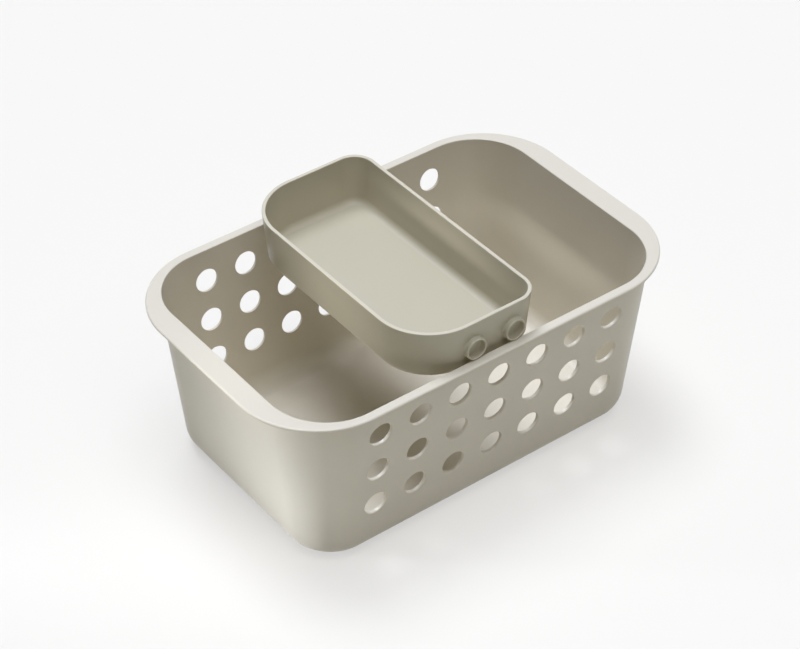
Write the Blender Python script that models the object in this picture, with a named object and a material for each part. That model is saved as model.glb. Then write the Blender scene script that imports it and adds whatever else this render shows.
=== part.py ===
"""Storage basket with a lift-off tray.

The basket is one open moulding: a floor, four drafted walls that run round large
corners, and a flat rim that widens into a handle at each end. Both long walls carry
a square pattern of round holes. The tray is a second, shallow moulding that bridges
the basket. Two hollow pegs stand out of each of its ends: they fit the holes when the
tray is pressed in, and here they rest on top of the long rims.

Frame: +X along the basket, +Y across it, +Z up, with the origin at the middle of the
basket's underside. Everything is in metres.
"""

from math import cos, pi, radians, sin, tan

import bmesh
import bpy
from mathutils import Matrix, Vector

# Rim of the basket
BASKET_HEIGHT = 0.119
RIM_LENGTH = 0.300
RIM_WIDTH = 0.193
RIM_CORNER_RADIUS = 0.0548
RIM_THICKNESS = 0.0024
RIM_EDGE_RADIUS = 0.0010
END_RIM_WIDTH = 0.0149
SIDE_RIM_WIDTH = 0.0061
OPENING_CORNER_RADIUS = 0.0390
OPENING_EDGE_RADIUS = 0.0006

# Walls and floor of the basket
BASKET_WALL = 0.0022
BASKET_FLOOR = 0.0024
BASKET_DRAFT = radians(5.7)
BASKET_BASE_RADIUS = 0.015
BASKET_INNER_RADIUS = 0.013

# Round holes in the long walls
HOLE_DIAMETER = 0.0158
HOLE_PITCH = 0.029
TOP_ROW_DEPTH = 0.0216
LOWEST_HOLE_CLEARANCE = 0.0205
CUT_OVERRUN = 0.002

# Tray
TRAY_WIDTH = 0.092
TRAY_HEIGHT = 0.0355
TRAY_WALL = 0.0024
TRAY_FLOOR = 0.0020
TRAY_DRAFT = radians(5.0)
TRAY_LEFT_CORNER_RADIUS = 0.0365
TRAY_RIGHT_CORNER_RADIUS = 0.0150
TRAY_BASE_RADIUS = 0.0060
TRAY_INNER_RADIUS = 0.0050
TRAY_EDGE_RADIUS = 0.0007
TRAY_END_GAP = 0.0004

# Pegs on the tray's ends
PEG_DEPTH = 0.0186
PEG_HOLE_CLEARANCE = 0.0006
PEG_WALL = 0.0016
PEG_LIP_RADIUS = 0.0006
PEG_OVERHANG = 0.0014
REST_GAP = 0.0003

# Facets of the round stretches
CORNER_STEPS = 8
FILLET_STEPS = 4
EDGE_STEPS = 2
HOLE_SIDES = 24
SMOOTH_ANGLE = radians(30.0)

# Colours of the two mouldings, as linear red, green, blue
BASKET_COLOUR = (0.70, 0.67, 0.59)
TRAY_COLOUR = (0.53, 0.50, 0.39)
PLASTIC_ROUGHNESS = 0.45

# Sizes that follow from the ones above
OPENING_HALF_X = RIM_LENGTH / 2 - END_RIM_WIDTH
OPENING_HALF_Y = RIM_WIDTH / 2 - SIDE_RIM_WIDTH
TOP_ROW_Z = BASKET_HEIGHT - TOP_ROW_DEPTH
PEG_RADIUS = HOLE_DIAMETER / 2 - PEG_HOLE_CLEARANCE
PEG_TIP_Y = OPENING_HALF_Y + PEG_OVERHANG
SEATED_WALL_Y = OPENING_HALF_Y - TOP_ROW_DEPTH * tan(BASKET_DRAFT)
TRAY_END_Y = SEATED_WALL_Y - TRAY_END_GAP
PEG_Z = BASKET_HEIGHT + REST_GAP + PEG_RADIUS
TRAY_X = -HOLE_PITCH / 2
TRAY_Z = PEG_Z + PEG_DEPTH - TRAY_HEIGHT


def clear_scene():
    """Remove the objects that the file opened with."""
    for thing in list(bpy.data.objects):
        bpy.data.objects.remove(thing, do_unlink=True)


def plastic(name, colour):
    """A plain moulded plastic of one colour."""
    material = bpy.data.materials.new(name)
    material.use_nodes = True
    shader = material.node_tree.nodes["Principled BSDF"]
    shader.inputs["Base Color"].default_value = (*colour, 1)
    shader.inputs["Roughness"].default_value = PLASTIC_ROUGHNESS
    shader.inputs["Metallic"].default_value = 0
    return material


def rounded_rectangle(half_x, half_y, left_radius, right_radius, height):
    """A level ring of points, with one corner radius at -X and another at +X."""
    corners = [
        (1, 1, right_radius, 0),
        (-1, 1, left_radius, pi / 2),
        (-1, -1, left_radius, pi),
        (1, -1, right_radius, 3 * pi / 2),
    ]
    ring = []
    for side_x, side_y, radius, start in corners:
        centre_x = side_x * (half_x - radius)
        centre_y = side_y * (half_y - radius)
        for step in range(CORNER_STEPS + 1):
            angle = start + step / CORNER_STEPS * pi / 2
            ring.append(Vector((centre_x + radius * cos(angle), centre_y + radius * sin(angle), height)))
    return ring


def floor_fillet(wall_offset, rim_z, draft, flat_z, radius):
    """Offsets and heights round the edge between a level floor and a drafted wall.

    The wall stands wall_offset out at the height rim_z and leans in below it. The arc
    starts on the floor and ends where it is tangent to the wall.
    """
    centre_z = flat_z + radius
    tangent_z = centre_z - radius * sin(draft)
    tangent_offset = wall_offset - (rim_z - tangent_z) * tan(draft)
    centre_offset = tangent_offset - radius * cos(draft)
    arc = []
    for step in range(FILLET_STEPS + 1):
        angle = -pi / 2 + step / FILLET_STEPS * (pi / 2 - draft)
        arc.append((centre_offset + radius * cos(angle), centre_z + radius * sin(angle)))
    return arc


def edge_arc(centre_offset, centre_z, radius, start, end):
    """Offsets and heights of a small rounding, from one angle to another."""
    arc = []
    for step in range(EDGE_STEPS + 1):
        angle = start + step / EDGE_STEPS * (end - start)
        arc.append((centre_offset + radius * cos(angle), centre_z + radius * sin(angle)))
    return arc


def skin(mesh, rings):
    """Join rings of equally many points into a skin, closed by a face at each end."""
    loops = [[mesh.verts.new(point) for point in ring] for ring in rings]
    for lower, upper in zip(loops, loops[1:]):
        for index in range(len(lower)):
            after = (index + 1) % len(lower)
            mesh.faces.new((lower[index], lower[after], upper[after], upper[index]))
    mesh.faces.new(reversed(loops[0]))
    mesh.faces.new(loops[-1])


def solid_object(name, mesh, material=None):
    """Turn a bmesh into a named object with its faces outward and its round parts smooth."""
    bmesh.ops.recalc_face_normals(mesh, faces=mesh.faces)
    data = bpy.data.meshes.new(name)
    mesh.to_mesh(data)
    mesh.free()
    data.shade_smooth()
    data.set_sharp_from_angle(angle=SMOOTH_ANGLE)
    thing = bpy.data.objects.new(name, data)
    bpy.context.scene.collection.objects.link(thing)
    if material is not None:
        data.materials.append(material)
    return thing


def combine(thing, tool, operation):
    """Cut or join a tool into an object, and hide the tool."""
    tool.hide_render = True
    tool.display_type = 'WIRE'
    modifier = thing.modifiers.new(operation.lower(), 'BOOLEAN')
    modifier.operation = operation
    modifier.solver = 'EXACT'
    modifier.object = tool


def basket_ring(offset, height):
    """A ring of the basket's walls, a distance out from the opening's outline."""
    return rounded_rectangle(OPENING_HALF_X + offset, OPENING_HALF_Y + offset,
                             OPENING_CORNER_RADIUS + offset, OPENING_CORNER_RADIUS + offset, height)


def rim_ring(offset, height):
    """A ring of the rim's outer edge, a distance out from the rim's own outline."""
    return rounded_rectangle(RIM_LENGTH / 2 + offset, RIM_WIDTH / 2 + offset,
                             RIM_CORNER_RADIUS + offset, RIM_CORNER_RADIUS + offset, height)


def basket_rings():
    """The basket's whole section, from its underside over the rim to its floor."""
    under_rim_z = BASKET_HEIGHT - RIM_THICKNESS
    outer_fillet = floor_fillet(BASKET_WALL, BASKET_HEIGHT, BASKET_DRAFT, 0, BASKET_BASE_RADIUS)
    inner_fillet = floor_fillet(0, BASKET_HEIGHT, BASKET_DRAFT, BASKET_FLOOR, BASKET_INNER_RADIUS)
    under_edge = edge_arc(-RIM_EDGE_RADIUS, under_rim_z + RIM_EDGE_RADIUS, RIM_EDGE_RADIUS, -pi / 2, 0)
    top_edge = edge_arc(-RIM_EDGE_RADIUS, BASKET_HEIGHT - RIM_EDGE_RADIUS, RIM_EDGE_RADIUS, 0, pi / 2)
    opening_edge = edge_arc(OPENING_EDGE_RADIUS, BASKET_HEIGHT - OPENING_EDGE_RADIUS,
                            OPENING_EDGE_RADIUS, pi / 2, pi)
    rings = [basket_ring(offset, height) for offset, height in outer_fillet]
    rings.append(basket_ring(BASKET_WALL - RIM_THICKNESS * tan(BASKET_DRAFT), under_rim_z))
    rings += [rim_ring(offset, height) for offset, height in under_edge + top_edge]
    rings += [basket_ring(offset, height) for offset, height in opening_edge]
    rings += [basket_ring(offset, height) for offset, height in reversed(inner_fillet)]
    return rings


def hole_places():
    """X and Z of every hole in a long wall, as many as its flat stretch takes."""
    flat_length = 2 * (OPENING_HALF_X - OPENING_CORNER_RADIUS)
    flat_height = TOP_ROW_Z - LOWEST_HOLE_CLEARANCE - HOLE_DIAMETER / 2
    columns = 1 + int((flat_length - HOLE_DIAMETER) / HOLE_PITCH)
    rows = 1 + int(flat_height / HOLE_PITCH)
    places = []
    for column in range(columns):
        for row in range(rows):
            place_x = (column - (columns - 1) / 2) * HOLE_PITCH
            places.append((place_x, TOP_ROW_Z - row * HOLE_PITCH))
    return places


def hole_cutter():
    """Long rods across the basket, one through each pair of facing holes."""
    mesh = bmesh.new()
    rod_length = RIM_WIDTH + 2 * CUT_OVERRUN
    for place_x, place_z in hole_places():
        across = Matrix.Translation((place_x, 0, place_z)) @ Matrix.Rotation(pi / 2, 4, 'X')
        bmesh.ops.create_cone(mesh, cap_ends=True, segments=HOLE_SIDES, radius1=HOLE_DIAMETER / 2,
                              radius2=HOLE_DIAMETER / 2, depth=rod_length, matrix=across)
    return solid_object("hole_cutter", mesh)


def make_basket():
    """The outer moulding, with its holes."""
    mesh = bmesh.new()
    skin(mesh, basket_rings())
    basket = solid_object("basket", mesh, plastic("basket_plastic", BASKET_COLOUR))
    combine(basket, hole_cutter(), 'DIFFERENCE')
    return basket


def tray_ring(offset, height):
    """A ring of the tray, a distance out from the inner wall's outline at its rim."""
    rim_end_y = TRAY_END_Y + PEG_DEPTH * tan(TRAY_DRAFT)
    inner_offset = offset - TRAY_WALL
    return rounded_rectangle(TRAY_WIDTH / 2 + inner_offset, rim_end_y + inner_offset,
                             TRAY_LEFT_CORNER_RADIUS + inner_offset,
                             TRAY_RIGHT_CORNER_RADIUS + inner_offset, height)


def tray_rings():
    """The tray's whole section, from its underside over its rim to its floor."""
    outer_fillet = floor_fillet(TRAY_WALL, TRAY_HEIGHT, TRAY_DRAFT, 0, TRAY_BASE_RADIUS)
    inner_fillet = floor_fillet(0, TRAY_HEIGHT, TRAY_DRAFT, TRAY_FLOOR, TRAY_INNER_RADIUS)
    edge_z = TRAY_HEIGHT - TRAY_EDGE_RADIUS
    outer_edge = edge_arc(TRAY_WALL - TRAY_EDGE_RADIUS, edge_z, TRAY_EDGE_RADIUS, 0, pi / 2)
    inner_edge = edge_arc(TRAY_EDGE_RADIUS, edge_z, TRAY_EDGE_RADIUS, pi / 2, pi)
    profile = outer_fillet + outer_edge + inner_edge + inner_fillet[::-1]
    return [tray_ring(offset, height) for offset, height in profile]


def peg_profile():
    """Radius and distance from the tip of a hollow peg, from its bore floor to its root."""
    root = PEG_TIP_Y - TRAY_END_Y
    bore_radius = PEG_RADIUS - PEG_WALL
    bore_floor = root - bore_radius * tan(TRAY_DRAFT)
    sunk_root = root + TRAY_WALL / 2
    lip = edge_arc(bore_radius + PEG_LIP_RADIUS, -PEG_LIP_RADIUS, PEG_LIP_RADIUS, pi, pi / 2)
    lip += edge_arc(PEG_RADIUS - PEG_LIP_RADIUS, -PEG_LIP_RADIUS, PEG_LIP_RADIUS, pi / 2, 0)
    return [(bore_radius, -bore_floor)] + lip + [(PEG_RADIUS, -sunk_root)]


def tray_pegs():
    """Two hollow pegs at each end, centred on the flat stretch between the corners."""
    mesh = bmesh.new()
    pair_x = (TRAY_LEFT_CORNER_RADIUS - TRAY_RIGHT_CORNER_RADIUS) / 2
    for end in (-1, 1):
        for place in (-1, 1):
            tip = Vector((pair_x + place * HOLE_PITCH / 2, end * PEG_TIP_Y, TRAY_HEIGHT - PEG_DEPTH))
            placed = Matrix.Translation(tip) @ Matrix.Rotation(-end * pi / 2, 4, 'X')
            rings = []
            for radius, reach in peg_profile():
                turns = [2 * pi * side / HOLE_SIDES for side in range(HOLE_SIDES)]
                rings.append([placed @ Vector((radius * cos(turn), radius * sin(turn), reach))
                              for turn in turns])
            skin(mesh, rings)
    return solid_object("peg_union", mesh)


def make_tray():
    """The inner moulding, resting by its pegs on the long rims."""
    mesh = bmesh.new()
    skin(mesh, tray_rings())
    tray = solid_object("tray", mesh, plastic("tray_plastic", TRAY_COLOUR))
    tray.location = (TRAY_X, 0, TRAY_Z)
    pegs = tray_pegs()
    pegs.location = tray.location
    combine(tray, pegs, 'UNION')
    return tray


clear_scene()
make_basket()
make_tray()
bpy.context.view_layer.update()
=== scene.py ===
# %% [markdown]
# This lesson dresses a storage basket with a lift-off tray. Both are injection mouldings
# in polypropylene: the basket is light warm grey, the tray a darker khaki grey. A frame
# made elsewhere says where the two solids are and how the tray moves. Here each one gets
# a finer mesh of the same shape, with the soft edges that a mould leaves, and its finish.

from math import cos, pi, radians, sin, tan

import bmesh
import bpy
from mathutils import Matrix, Vector


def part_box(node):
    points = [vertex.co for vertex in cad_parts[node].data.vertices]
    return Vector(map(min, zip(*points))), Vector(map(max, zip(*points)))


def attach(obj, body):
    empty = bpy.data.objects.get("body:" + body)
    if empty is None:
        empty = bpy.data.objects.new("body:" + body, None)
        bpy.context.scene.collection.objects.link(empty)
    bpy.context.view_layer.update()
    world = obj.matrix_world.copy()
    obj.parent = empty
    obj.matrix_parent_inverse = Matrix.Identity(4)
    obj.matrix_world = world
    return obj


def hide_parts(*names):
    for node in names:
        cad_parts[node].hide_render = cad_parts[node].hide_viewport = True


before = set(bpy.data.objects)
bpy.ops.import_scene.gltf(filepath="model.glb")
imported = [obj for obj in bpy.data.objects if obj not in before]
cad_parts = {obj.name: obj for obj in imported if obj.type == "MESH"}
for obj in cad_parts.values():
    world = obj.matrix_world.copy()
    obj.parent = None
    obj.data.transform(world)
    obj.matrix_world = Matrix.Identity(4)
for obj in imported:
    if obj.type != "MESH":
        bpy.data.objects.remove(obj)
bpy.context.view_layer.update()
basket_low, basket_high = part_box("basket")
tray_low, tray_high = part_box("tray")
print("basket", [round(high - low, 4) for low, high in zip(basket_low, basket_high)])
print("tray", [round(high - low, 4) for low, high in zip(tray_low, tray_high)])

# %% [markdown]
# A moulding is described by a few sizes: its outline at the rim, its wall, the draft that
# lets it leave the mould, and the radii of its edges. The overall sizes are read from the
# frame, so the meshes follow the solids. The others are the mould's own and are in metres.

# %% The basket's sizes
basket_height = basket_high[2]
rim_half_x = basket_high[0]
rim_half_y = basket_high[1]
rim_corner = 0.0548
rim_thickness = 0.0024
rim_edge = 0.00115
end_rim_width = 0.0149
side_rim_width = 0.0061
opening_corner = 0.0390
opening_edge = 0.0007
basket_wall = 0.0022
basket_floor = 0.0024
basket_draft = radians(5.7)
basket_base_radius = 0.015
basket_inner_radius = 0.013
under_rim_fillet = 0.0014

opening_half_x = rim_half_x - end_rim_width
opening_half_y = rim_half_y - side_rim_width
print("opening in metres", round(2 * opening_half_x, 4), round(2 * opening_half_y, 4))

# %% The holes' sizes
hole_radius = 0.00785
hole_pitch = 0.029
hole_columns = 7
hole_rows = 3
hole_outer_edge = 0.0009
hole_inner_edge = 0.00015
top_row_depth = 0.0216
top_row_z = basket_height - top_row_depth
print("holes in each long wall", hole_columns * hole_rows)

# %% The tray's sizes
tray_x = (tray_low[0] + tray_high[0]) / 2
tray_bottom = tray_low[2]
tray_height = tray_high[2] - tray_low[2]
tray_half_x = (tray_high[0] - tray_low[0]) / 2
peg_tip_y = tray_high[1]
tray_wall = 0.0024
tray_floor = 0.0020
tray_draft = radians(5.0)
tray_left_corner = 0.0365
tray_right_corner = 0.0150
tray_base_radius = 0.0060
tray_inner_radius = 0.0050
tray_edge = 0.0005
tray_end_gap = 0.0004
pegs_per_end = 2
peg_depth = 0.0186
peg_radius = 0.0073
peg_wall = 0.0013
peg_lip = 0.0006
peg_root_fillet = 0.0008

seated_wall_y = opening_half_y - top_row_depth * tan(basket_draft)
tray_end_y = seated_wall_y - tray_end_gap
tray_rim_half_y = tray_end_y + peg_depth * tan(tray_draft)
print("tray rim in metres", round(2 * tray_half_x, 4), round(2 * tray_rim_half_y, 4))

# %% [markdown]
# Colours are easiest to choose as the hex values a paint program shows, but shaders
# work with linear light. One function converts them. A second adds a node with its
# settings and links, and a third uses it to mix two colours, so that each material reads
# as a short list.

# %% Colour and node helpers
def linear(code):
    """Turn an sRGB hex colour into linear red, green, blue and alpha."""
    parts = [int(code[start:start + 2], 16) / 255 for start in (0, 2, 4)]
    light = [part / 12.92 if part <= 0.04045 else ((part + 0.055) / 1.055) ** 2.4
             for part in parts]
    return (*light, 1)


def add_node(tree, kind, inputs=None, **settings):
    """Add a node. Inputs map a socket to a value, or to the output that feeds it."""
    node = tree.nodes.new(kind)
    for name, value in settings.items():
        setattr(node, name, value)
    for socket, value in (inputs or {}).items():
        if isinstance(value, bpy.types.NodeSocket):
            tree.links.new(value, node.inputs[socket])
        else:
            node.inputs[socket].default_value = value
    return node


def mix_colours(tree, factor, first, second):
    """The output of a mix of two colours. Each is a colour or the output that gives it."""
    mix = add_node(tree, "ShaderNodeMix", {"Factor": factor, "A": first, "B": second},
                   data_type='RGBA')
    return mix.outputs["Result"]


print("mid grey in linear light", [round(part, 3) for part in linear("808080")])

# %% [markdown]
# Polypropylene is a slightly waxy plastic with an index of refraction of about 1.49. The
# mould was spark eroded, which leaves a fine even matt grain: highlights are broad and
# soft, and only the rims shine a little. A real grain of about 0.1 mm is too fine to
# show, so it is drawn at 0.5 mm and kept shallow. Broad, faint clouds in the colour and
# in the roughness stand for the flow of the plastic and for handling. Polypropylene is
# also a little translucent, so light through the tray's thin rim makes it look lighter
# than the rest of it. That light is painted in: a mix by height in the object's own
# coordinates gives the top of the rim a lighter colour, and it moves with the tray. The
# basket's rim is broad and keeps the colour of its walls.

# %% Moulded polypropylene
refraction = 1.49
roughness_low = 0.34
roughness_high = 0.40
cloud_size = 0.045
smudge_size = 0.012
smudge_low = 0.3
smudge_high = 0.7
grain_size = 0.0005
grain_depth = 0.00002
grain_strength = 0.3
# Painted light: the top of the rim is coloured lighter for light through the thin plastic, down to
# this depth and blended over this height.
painted_rim_light_depth = 0.0009
painted_rim_light_blend = 0.00045


def noise(tree, place, size, detail, roughness):
    """The output of a noise whose features are about one size, in metres."""
    spots = add_node(tree, "ShaderNodeTexNoise",
                     {"Vector": place, "Scale": 1 / size, "Detail": detail,
                      "Roughness": roughness})
    return spots.outputs["Fac"]


def moulded_polypropylene(name, base, cloud, rim, rim_z):
    """Matt moulded polypropylene in faint clouds of two colours, with a lighter third painted at
    its rim as light through the plastic.
    """
    material = bpy.data.materials.new(name)
    material.use_nodes = True
    tree = material.node_tree
    shader = tree.nodes["Principled BSDF"]
    place = add_node(tree, "ShaderNodeTexCoord").outputs["Object"]
    clouds = noise(tree, place, cloud_size, detail=3.0, roughness=0.5)
    tint = mix_colours(tree, clouds, linear(base), linear(cloud))
    height = add_node(tree, "ShaderNodeSeparateXYZ", {"Vector": place}).outputs["Z"]
    # Painted light: this mask lightens the top of the rim for light through the thin plastic.
    painted_rim_light_mask = add_node(tree, "ShaderNodeMapRange",
                    {"Value": height, "From Min": rim_z - painted_rim_light_depth,
                     "From Max": rim_z - painted_rim_light_depth + painted_rim_light_blend})
    colour = mix_colours(tree, painted_rim_light_mask.outputs["Result"], tint, linear(rim))
    smudges = noise(tree, place, smudge_size, detail=4.0, roughness=0.6)
    sheen = add_node(tree, "ShaderNodeMapRange",
                     {"Value": smudges, "From Min": smudge_low, "From Max": smudge_high,
                      "To Min": roughness_low, "To Max": roughness_high})
    grain = noise(tree, place, grain_size, detail=2.0, roughness=0.5)
    relief = add_node(tree, "ShaderNodeBump",
                      {"Height": grain, "Strength": grain_strength, "Distance": grain_depth})
    tree.links.new(colour, shader.inputs["Base Color"])
    tree.links.new(sheen.outputs["Result"], shader.inputs["Roughness"])
    tree.links.new(relief.outputs["Normal"], shader.inputs["Normal"])
    shader.inputs["Metallic"].default_value = 0.0
    shader.inputs["IOR"].default_value = refraction
    return material


basket_finish = moulded_polypropylene("moulded_polypropylene_light_grey",
                                      "DDD5C2", "D9D1BE", "DDD5C2", basket_high[2])
# The tray's rim colour, D4CCB5, is painted light through its thin rim. The basket's rim keeps its
# wall colour.
tray_finish = moulded_polypropylene("moulded_polypropylene_khaki_grey",
                                    "C1BAA3", "BDB69F", "D4CCB5", tray_high[2])
print("finishes", basket_finish.name, tray_finish.name)

# %% [markdown]
# Both mouldings are lofts: level rings, each a rectangle with round corners, joined from
# the underside up the outside, over the rim and down the inside to the floor. Lofting
# keeps the wall even round the corners, which a box with bevels does not. The edges are
# arcs of rings, so they are real curves in the mesh.

# %% Rings, arcs and lofts
corner_steps = 24
fillet_steps = 12
edge_steps = 6


def rounded_rectangle(centre_x, half_x, half_y, left_radius, right_radius, height):
    """A level ring with one corner radius at -X and another at +X."""
    corners = [
        (1, 1, right_radius, 0),
        (-1, 1, left_radius, pi / 2),
        (-1, -1, left_radius, pi),
        (1, -1, right_radius, 3 * pi / 2),
    ]
    ring = []
    for side_x, side_y, radius, start in corners:
        middle_x = centre_x + side_x * (half_x - radius)
        middle_y = side_y * (half_y - radius)
        for step in range(corner_steps + 1):
            angle = start + step / corner_steps * pi / 2
            point_x = middle_x + radius * cos(angle)
            point_y = middle_y + radius * sin(angle)
            ring.append(Vector((point_x, point_y, height)))
    return ring


def arc(middle, height, radius, start, end, steps):
    """Pairs of offset and height along an arc, both ends included."""
    turns = [start + step / steps * (end - start) for step in range(steps + 1)]
    return [(middle + radius * cos(turn), height + radius * sin(turn)) for turn in turns]


def floor_fillet(wall_offset, rim_z, draft, flat_z, radius):
    """The arc from a level floor to where it is tangent to a drafted wall."""
    middle_z = flat_z + radius
    tangent_z = middle_z - radius * sin(draft)
    tangent_offset = wall_offset - (rim_z - tangent_z) * tan(draft)
    middle_offset = tangent_offset - radius * cos(draft)
    return arc(middle_offset, middle_z, radius, -pi / 2, -draft, fillet_steps)


def loft(name, rings):
    """Join rings into a closed skin, and return it as an object."""
    mesh = bmesh.new()
    loops = [[mesh.verts.new(point) for point in ring] for ring in rings]
    for lower, upper in zip(loops, loops[1:]):
        for index in range(len(lower)):
            after = (index + 1) % len(lower)
            mesh.faces.new((lower[index], lower[after], upper[after], upper[index]))
    mesh.faces.new(reversed(loops[0]))
    mesh.faces.new(loops[-1])
    bmesh.ops.recalc_face_normals(mesh, faces=mesh.faces)
    data = bpy.data.meshes.new(name)
    mesh.to_mesh(data)
    mesh.free()
    thing = bpy.data.objects.new(name, data)
    bpy.context.scene.collection.objects.link(thing)
    return thing


print("points in a ring", len(rounded_rectangle(0, 1, 1, 0.5, 0.5, 0)))

# %% [markdown]
# The basket's shell is one loft of 54 rings. The wall's rings are set out from the
# opening's outline, and the rim's from its own wider outline, whose corners are larger.
# That is what makes the rim broad at the ends, where it is the handle, and narrow along
# the sides. A small fillet joins the wall to the rim's underside.

# %% The basket's shell
def basket_ring(offset, height):
    """A ring set out from the outline of the basket's opening."""
    return rounded_rectangle(0, opening_half_x + offset, opening_half_y + offset,
                             opening_corner + offset, opening_corner + offset, height)


def rim_ring(offset, height):
    """A ring set out from the rim's own outline."""
    return rounded_rectangle(0, rim_half_x + offset, rim_half_y + offset,
                             rim_corner + offset, rim_corner + offset, height)


def basket_rings():
    """The basket's section, from its underside over the rim to its floor."""
    under_rim = basket_height - rim_thickness
    outside = floor_fillet(basket_wall, basket_height, basket_draft, 0, basket_base_radius)
    fillet_z = under_rim - under_rim_fillet
    fillet_offset = basket_wall - (basket_height - fillet_z) * tan(basket_draft)
    outside += arc(fillet_offset + under_rim_fillet, fillet_z, under_rim_fillet,
                   pi, pi / 2, edge_steps)
    rim = arc(-rim_edge, under_rim + rim_edge, rim_edge, -pi / 2, 0, edge_steps)
    rim += arc(-rim_edge, basket_height - rim_edge, rim_edge, 0, pi / 2, edge_steps)
    inside = arc(opening_edge, basket_height - opening_edge, opening_edge, pi / 2, pi, edge_steps)
    inside += floor_fillet(0, basket_height, basket_draft, basket_floor, basket_inner_radius)[::-1]
    rings = [basket_ring(offset, height) for offset, height in outside]
    rings += [rim_ring(offset, height) for offset, height in rim]
    rings += [basket_ring(offset, height) for offset, height in inside]
    return rings


basket = loft("basket_moulding", basket_rings())
print("basket shell faces", len(basket.data.polygons))

# %% [markdown]
# Every hole has the same edges: a soft one on the wall's outer face, and a nearly sharp
# one on the inner face. So one turned tool, shaped like the air in a hole, is repeated
# over the wall and taken away from the shell. It flares by each edge's radius where it
# meets that face.

# %% The tool that shapes one hole
round_sides = 64
tool_overrun = 0.001
tool_proud = 0.00003


def turned(name, profile, sides):
    """A closed solid turned round Z from pairs of radius and height, the lowest first."""
    rings = []
    for radius, height in profile:
        turns = [2 * pi * side / sides for side in range(sides)]
        rings.append([Vector((radius * cos(turn), radius * sin(turn), height)) for turn in turns])
    return loft(name, rings)


wall_face = basket_wall * cos(basket_draft) / 2 + tool_proud
inner_radius = hole_radius + hole_inner_edge
outer_radius = hole_radius + hole_outer_edge
hole_profile = [(inner_radius, -wall_face - tool_overrun)]
hole_profile += arc(inner_radius, hole_inner_edge - wall_face, hole_inner_edge,
                    -pi / 2, -pi, edge_steps)
hole_profile += arc(outer_radius, wall_face - hole_outer_edge, hole_outer_edge,
                    pi, pi / 2, edge_steps)
hole_profile += [(outer_radius, wall_face + tool_overrun)]
hole_tool = turned("hole_tool", hole_profile, round_sides)
print("hole tool faces", len(hole_tool.data.polygons))

# %% [markdown]
# Geometry Nodes repeat a tool over a wall: a line of points makes a row, the row is
# repeated up the wall, and the tool stands on each point. The wall's copies are turned
# half round for the wall that faces it. A Boolean then takes them out of the shell, or
# joins them to it, and the tree ends with the finish. The same tree makes the basket's
# holes and the tray's pegs.

# %% A tree that repeats a tool on two facing walls
def repeat_on_walls(operation):
    """A node tree that cuts copies of a tool out of a shell, or joins them to it."""
    tree = bpy.data.node_groups.new("repeat_on_walls_" + operation.lower(), 'GeometryNodeTree')
    face = tree.interface
    face.new_socket("Shell", in_out='INPUT', socket_type='NodeSocketGeometry')
    kinds = {"Tool": 'Object', "Columns": 'Int', "Rows": 'Int', "First": 'Vector',
             "Column Step": 'Vector', "Row Step": 'Vector', "Wall Place": 'Vector',
             "Wall Turn": 'Vector', "Facing Shift": 'Vector', "Finish": 'Material'}
    for name, kind in kinds.items():
        face.new_socket(name, in_out='INPUT', socket_type='NodeSocket' + kind)
    face.new_socket("Moulding", in_out='OUTPUT', socket_type='NodeSocketGeometry')
    given = add_node(tree, "NodeGroupInput").outputs
    row = add_node(tree, "GeometryNodeMeshLine",
                   {"Count": given["Columns"], "Start Location": given["First"],
                    "Offset": given["Column Step"]})
    climb = add_node(tree, "GeometryNodeMeshLine",
                     {"Count": given["Rows"], "Offset": given["Row Step"]})
    rows = add_node(tree, "GeometryNodeInstanceOnPoints",
                    {"Points": climb.outputs["Mesh"], "Instance": row.outputs["Mesh"]})
    places = add_node(tree, "GeometryNodeRealizeInstances", {"Geometry": rows.outputs["Instances"]})
    tool = add_node(tree, "GeometryNodeObjectInfo", {"Object": given["Tool"]})
    tools = add_node(tree, "GeometryNodeInstanceOnPoints",
                     {"Points": places.outputs["Geometry"], "Instance": tool.outputs["Geometry"]})
    loose = add_node(tree, "GeometryNodeRealizeInstances", {"Geometry": tools.outputs["Instances"]})
    near = add_node(tree, "GeometryNodeTransform",
                    {"Geometry": loose.outputs["Geometry"], "Translation": given["Wall Place"],
                     "Rotation": given["Wall Turn"]})
    facing = add_node(tree, "GeometryNodeTransform",
                      {"Geometry": near.outputs["Geometry"], "Translation": given["Facing Shift"],
                       "Rotation": (0, 0, pi)})
    both = add_node(tree, "GeometryNodeJoinGeometry", {"Geometry": near.outputs["Geometry"]})
    tree.links.new(facing.outputs["Geometry"], both.inputs["Geometry"])
    combined = add_node(tree, "GeometryNodeMeshBoolean", {"Mesh 2": both.outputs["Geometry"]},
                        operation=operation, solver='EXACT')
    shell_socket = "Mesh 1" if operation == 'DIFFERENCE' else "Mesh 2"
    tree.links.new(given["Shell"], combined.inputs[shell_socket])
    real = add_node(tree, "GeometryNodeRealizeInstances", {"Geometry": combined.outputs["Mesh"]})
    finished = add_node(tree, "GeometryNodeSetMaterial",
                        {"Geometry": real.outputs["Geometry"], "Material": given["Finish"]})
    add_node(tree, "NodeGroupOutput", {"Moulding": finished.outputs["Geometry"]})
    return tree


hole_tree = repeat_on_walls('DIFFERENCE')
peg_tree = repeat_on_walls('UNION')
print("trees", hole_tree.name, peg_tree.name)

# %% [markdown]
# The result has to be a plain mesh, because instances and live modifiers are not kept.
# After a Boolean, a large flat face touches many small curved ones, and averaging their
# directions would leave dark smears on the flat. Weighted normals let the larger face
# win, so flats shade flat and the small edges roll into them smoothly.

# %% Run a tree and keep a plain mesh
merge_distance = 0.000002
largest_face_weight = 100


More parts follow.
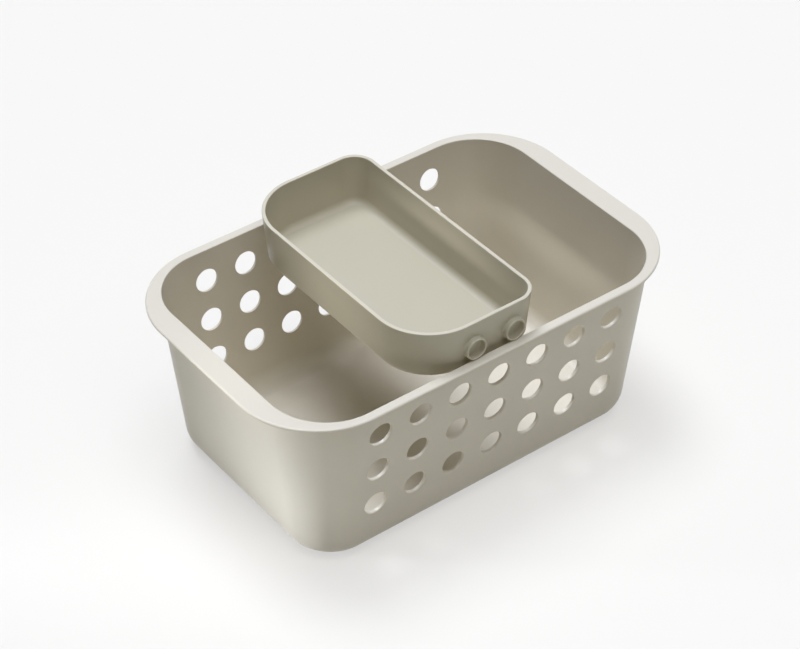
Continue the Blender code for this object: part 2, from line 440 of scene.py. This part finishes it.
def run_tree(thing, tree, values):
    """Give a shell its repeated tools, and leave it as a plain smooth mesh."""
    modifier = thing.modifiers.new("repeat", 'NODES')
    modifier.node_group = tree
    for item in tree.interface.items_tree:
        if item.in_out == 'INPUT' and item.name in values:
            modifier[item.identifier] = values[item.name]
    keep_evaluated(thing)
    mesh = bmesh.new()
    mesh.from_mesh(thing.data)
    bmesh.ops.remove_doubles(mesh, verts=mesh.verts, dist=merge_distance)
    open_edges = sum(1 for edge in mesh.edges if not edge.is_manifold)
    mesh.to_mesh(thing.data)
    mesh.free()
    thing.data.shade_smooth()
    weighting = thing.modifiers.new("weighting", 'WEIGHTED_NORMAL')
    weighting.mode = 'FACE_AREA'
    weighting.weight = largest_face_weight
    keep_evaluated(thing)
    bpy.data.objects.remove(values["Tool"])
    print(thing.name, "faces", len(thing.data.polygons), "open edges", open_edges)


def keep_evaluated(thing):
    """Replace an object's mesh with what its modifiers make of it, and remove them."""
    graph = bpy.context.evaluated_depsgraph_get()
    result = bpy.data.meshes.new_from_object(thing.evaluated_get(graph), depsgraph=graph)
    thing.modifiers.clear()
    thing.data = result
    result.name = thing.name


print("vertices nearer than", merge_distance, "m are merged")

# %% [markdown]
# The wall leans out by its draft, so the pattern is laid out flat and then tilted with
# the wall. The distance between rows is measured up the wall, which makes it a little
# longer than their difference in height.

# %% The basket's holes
wall_middle_y = opening_half_y + basket_wall / 2 - top_row_depth * tan(basket_draft)
run_tree(basket, hole_tree, {
    "Tool": hole_tool,
    "Columns": hole_columns,
    "Rows": hole_rows,
    "First": (-(hole_columns - 1) / 2 * hole_pitch, 0, 0),
    "Column Step": (hole_pitch, 0, 0),
    "Row Step": (0, -hole_pitch / cos(basket_draft), 0),
    "Wall Place": (0, -wall_middle_y, top_row_z),
    "Wall Turn": (pi / 2 + basket_draft, 0, 0),
    "Facing Shift": (0, 0, 0),
    "Finish": basket_finish,
})
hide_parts("basket")
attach(basket, "basket")

# %% [markdown]
# The tray is a second loft. Two of its corners match the basket's large corners, so that
# it can be pushed to one end, and the other two are tighter. Its rim has no flange: the
# wall just ends there, level and with both edges rounded.

# %% The tray's shell
def tray_ring(offset, height):
    """A ring set out from the inner wall's outline at the tray's rim."""
    inset = offset - tray_wall
    return rounded_rectangle(tray_x, tray_half_x + inset, tray_rim_half_y + inset,
                             tray_left_corner + inset, tray_right_corner + inset,
                             tray_bottom + height)


def tray_rings():
    """The tray's section, from its underside over its rim to its floor."""
    edge_z = tray_height - tray_edge
    section = floor_fillet(tray_wall, tray_height, tray_draft, 0, tray_base_radius)
    section += arc(tray_wall - tray_edge, edge_z, tray_edge, 0, pi / 2, edge_steps)
    section += arc(tray_edge, edge_z, tray_edge, pi / 2, pi, edge_steps)
    section += floor_fillet(0, tray_height, tray_draft, tray_floor, tray_inner_radius)[::-1]
    return [tray_ring(offset, height) for offset, height in section]


tray = loft("tray_moulding", tray_rings())
print("tray shell faces", len(tray.data.polygons))

# %% [markdown]
# Each peg is a short hollow tube with a rolled lip, moulded on the tray's end wall. Its
# root sweeps into the wall, which leans by the tray's draft, so the root's ring follows
# the wall while the tip stays upright. The tool is modelled pointing along Z, with the
# tray's up along Y, and the tree turns it to face out.

# %% The tool that shapes one peg
def peg_section():
    """Radius, height and share of the wall's lean, from the root to the bore's floor."""
    length = peg_tip_y - tray_end_y
    bore_radius = peg_radius - peg_wall
    section = [(peg_radius + peg_root_fillet, -length - tray_wall / 2, 1)]
    root = arc(peg_radius + peg_root_fillet, peg_root_fillet - length, peg_root_fillet,
               -pi / 2, -pi, edge_steps)
    section += [(radius, height, 1) for radius, height in root]
    lip = arc(peg_radius - peg_lip, -peg_lip, peg_lip, 0, pi / 2, edge_steps)
    lip += arc(bore_radius + peg_lip, -peg_lip, peg_lip, pi / 2, pi, edge_steps)
    section += [(radius, height, 0) for radius, height in lip]
    floor_height = peg_root_fillet - length
    floor_edge = arc(bore_radius - peg_root_fillet, floor_height, peg_root_fillet,
                     0, -pi / 2, edge_steps)
    section += [(radius, height, 1) for radius, height in floor_edge]
    return section


def peg_tool_rings():
    """The peg's rings, leaning with the tray's wall near its root."""
    rings = []
    for radius, height, lean in peg_section():
        ring = []
        for side in range(round_sides):
            turn = 2 * pi * side / round_sides
            up = radius * sin(turn)
            ring.append(Vector((radius * cos(turn), up, height + lean * up * tan(tray_draft))))
        rings.append(ring)
    return rings


peg_tool = loft("peg_tool", peg_tool_rings())
print("peg tool faces", len(peg_tool.data.polygons))

# %% The tray's pegs
pair_x = tray_x + (tray_left_corner - tray_right_corner) / 2
run_tree(tray, peg_tree, {
    "Tool": peg_tool,
    "Columns": pegs_per_end,
    "Rows": 1,
    "First": (-(pegs_per_end - 1) / 2 * hole_pitch, 0, 0),
    "Column Step": (hole_pitch, 0, 0),
    "Row Step": (0, 0, 0),
    "Wall Place": (pair_x, -peg_tip_y, tray_bottom + tray_height - peg_depth),
    "Wall Turn": (pi / 2, 0, 0),
    "Facing Shift": (2 * pair_x, 0, 0),
    "Finish": tray_finish,
})
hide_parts("tray")
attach(tray, "tray")

# %% [markdown]
# The object stands on a seamless white sweep. The floor is a plain pale diffuse sheet, so
# it takes the object's soft shadow. To the camera and in reflections over half of it
# glows with nearly the same white. That keeps the shadow as light as a bright studio
# makes it, and lights the object only in reflections. The light that bounces off the
# paper is darker than the paper looks, because a real sweep is small and the room beyond
# it is darker.

# %% The floor
white = linear("FAFAFA")
floor_size = 12.0
floor_drop = 0.0002
shadow_share = 0.44
paper_seen = "F4EEE0"
paper_bounce = "D1CEC0"


def seen_or_reflected(tree):
    """A factor that is 1 for camera, glossy and transmission rays, and 0 for others."""
    path = add_node(tree, "ShaderNodeLightPath").outputs
    direct = add_node(tree, "ShaderNodeMath",
                      {0: path["Is Camera Ray"], 1: path["Is Glossy Ray"]},
                      operation='MAXIMUM')
    return add_node(tree, "ShaderNodeMath",
                    {0: direct.outputs[0], 1: path["Is Transmission Ray"]},
                    operation='MAXIMUM').outputs[0]


def floor_material():
    """White paper that takes a soft shadow."""
    material = bpy.data.materials.new("white_paper_sweep")
    material.use_nodes = True
    tree = material.node_tree
    tree.nodes.clear()
    seen = seen_or_reflected(tree)
    tone = mix_colours(tree, seen, linear(paper_bounce), linear(paper_seen))
    paper = add_node(tree, "ShaderNodeBsdfDiffuse", {"Color": tone})
    glow = add_node(tree, "ShaderNodeEmission", {"Color": white, "Strength": 1.0})
    share = add_node(tree, "ShaderNodeMath", {0: seen, 1: 1 - shadow_share}, operation='MULTIPLY')
    mixed = add_node(tree, "ShaderNodeMixShader",
                     {0: share.outputs[0], 1: paper.outputs[0], 2: glow.outputs[0]})
    add_node(tree, "ShaderNodeOutputMaterial", {"Surface": mixed.outputs[0]})
    return material


floor_mesh = bmesh.new()
bmesh.ops.create_grid(floor_mesh, x_segments=1, y_segments=1, size=floor_size / 2,
                      matrix=Matrix.Translation((0, 0, -floor_drop)))
floor_data = bpy.data.meshes.new("studio_floor")
floor_mesh.to_mesh(floor_data)
floor_mesh.free()
floor_data.materials.append(floor_material())
studio_floor = bpy.data.objects.new("studio_floor", floor_data)
bpy.context.scene.collection.objects.link(studio_floor)
print("floor is", floor_size, "m square")

# %% [markdown]
# Three large soft boxes light the object: one straight overhead, a narrower one that
# stands a little behind it, and a weak one in front. They give bright rims, softer
# upright walls and a shadow close to the base. Three small boxes stand at the left, each
# with a grid that keeps its light in a narrow beam: two light the end wall and the corner
# nearest the camera, and one lights the tray's left side. The world is nearly dark, and
# only the camera and reflections see it as white.

# %% World and lamps
world_level = 0.02
neutral = "FFFFFF"
cool = "E6EDFF"
# Each soft box has the direction it shines from, its width, its strength and its colour.
soft_boxes = {
    "overhead_soft_box": ((0, 0, 1), radians(40), 1.62, cool),
    "back_soft_box": ((0, 0.37, 1), radians(24), 1.75, cool),
    "front_soft_box": ((0, -0.58, 1), radians(44), 0.62, neutral),
}
grid_size = 0.06
# Each grid box has its place, the point it is aimed at, its spread, its power and its colour.
grid_boxes = {
    "left_grid_box":
        ((-0.64, 0.35, 0.07), (-0.138, -0.070, 0.028), radians(18), 0.043, cool),
    "front_left_grid_box":
        ((-0.66, -0.22, 0.06), (-0.128, -0.065, 0.055), radians(18), 0.004, cool),
    "tray_grid_box":
        ((-0.65, -0.07, 0.24), (-0.060, -0.010, 0.123), radians(13), 0.0105, neutral),
}


def studio_world():
    """Even grey light that looks white behind the object."""
    world = bpy.data.worlds.new("studio_room")
    world.use_nodes = True
    tree = world.node_tree
    tree.nodes.clear()
    room = add_node(tree, "ShaderNodeBackground",
                    {"Color": linear(neutral), "Strength": world_level})
    backdrop = add_node(tree, "ShaderNodeBackground", {"Color": white, "Strength": 1.0})
    seen = seen_or_reflected(tree)
    mixed = add_node(tree, "ShaderNodeMixShader",
                     {0: seen, 1: room.outputs[0], 2: backdrop.outputs[0]})
    add_node(tree, "ShaderNodeOutputWorld", {"Surface": mixed.outputs[0]})
    return world


def broad_lamp(name, direction, width, strength, colour):
    """A distant lamp as broad as a large soft box, which lights the floor evenly."""
    lamp = bpy.data.lights.new(name, 'SUN')
    lamp.angle = width
    lamp.energy = strength
    lamp.color = linear(colour)[:3]
    thing = bpy.data.objects.new(name, lamp)
    thing.rotation_euler = Vector(direction).to_track_quat('Z', 'Y').to_euler()
    bpy.context.scene.collection.objects.link(thing)
    return thing


def grid_box(name, place, aim, spread, power, colour):
    """A soft box with a grid in front, which keeps its light in a narrow beam."""
    lamp = bpy.data.lights.new(name, 'AREA')
    lamp.size = grid_size
    lamp.spread = spread
    lamp.energy = power
    lamp.color = linear(colour)[:3]
    thing = bpy.data.objects.new(name, lamp)
    turn = (Vector(place) - Vector(aim)).to_track_quat('Z', 'Y').to_matrix().to_4x4()
    thing.matrix_world = Matrix.Translation(place) @ turn
    thing.visible_camera = False
    bpy.context.scene.collection.objects.link(thing)
    return thing


bpy.context.scene.world = studio_world()
for box_name, (direction, width, strength, colour) in soft_boxes.items():
    broad_lamp(box_name, direction, width, strength, colour)
for box_name, (place, aim, spread, power, colour) in grid_boxes.items():
    grid_box(box_name, place, aim, spread, power, colour)
print("world level", world_level, "and", len(bpy.data.lights), "lamps")

# %% [markdown]
# The camera stands where the photograph was taken from: in front and to the left, well
# above, with a long lens so that parallel edges stay nearly parallel. The numbers come
# from matching the centres of the holes, measured from the middle of the top row.

# %% Camera
camera_azimuth = radians(-37.204)
camera_elevation = radians(39.350)
camera_roll = radians(-0.144)
camera_distance = 1.4592
camera_right = -0.00368
camera_up = -0.01618
lens_mm = 107.45
sensor_mm = 36.0


def photograph_camera():
    """A camera at the photograph's viewing angle."""
    back = Vector((sin(camera_azimuth) * cos(camera_elevation),
                   -cos(camera_azimuth) * cos(camera_elevation), sin(camera_elevation)))
    level_right = Vector((cos(camera_azimuth), sin(camera_azimuth), 0))
    level_up = back.cross(level_right)
    right = level_right * cos(camera_roll) + level_up * sin(camera_roll)
    up = level_up * cos(camera_roll) - level_right * sin(camera_roll)
    place = (Vector((0, 0, top_row_z)) + back * camera_distance
             + right * camera_right + up * camera_up)
    lens = bpy.data.cameras.new("photograph_camera")
    lens.lens = lens_mm
    lens.sensor_width = sensor_mm
    lens.sensor_fit = 'HORIZONTAL'
    camera = bpy.data.objects.new("photograph_camera", lens)
    turn = Matrix((right, up, back)).transposed().to_4x4()
    camera.matrix_world = Matrix.Translation(place) @ turn
    bpy.context.scene.collection.objects.link(camera)
    return camera


bpy.context.scene.camera = photograph_camera()
bpy.context.scene.view_settings.view_transform = 'Standard'
camera_place = bpy.context.scene.camera.matrix_world.translation
print("camera at", [round(part, 3) for part in camera_place])
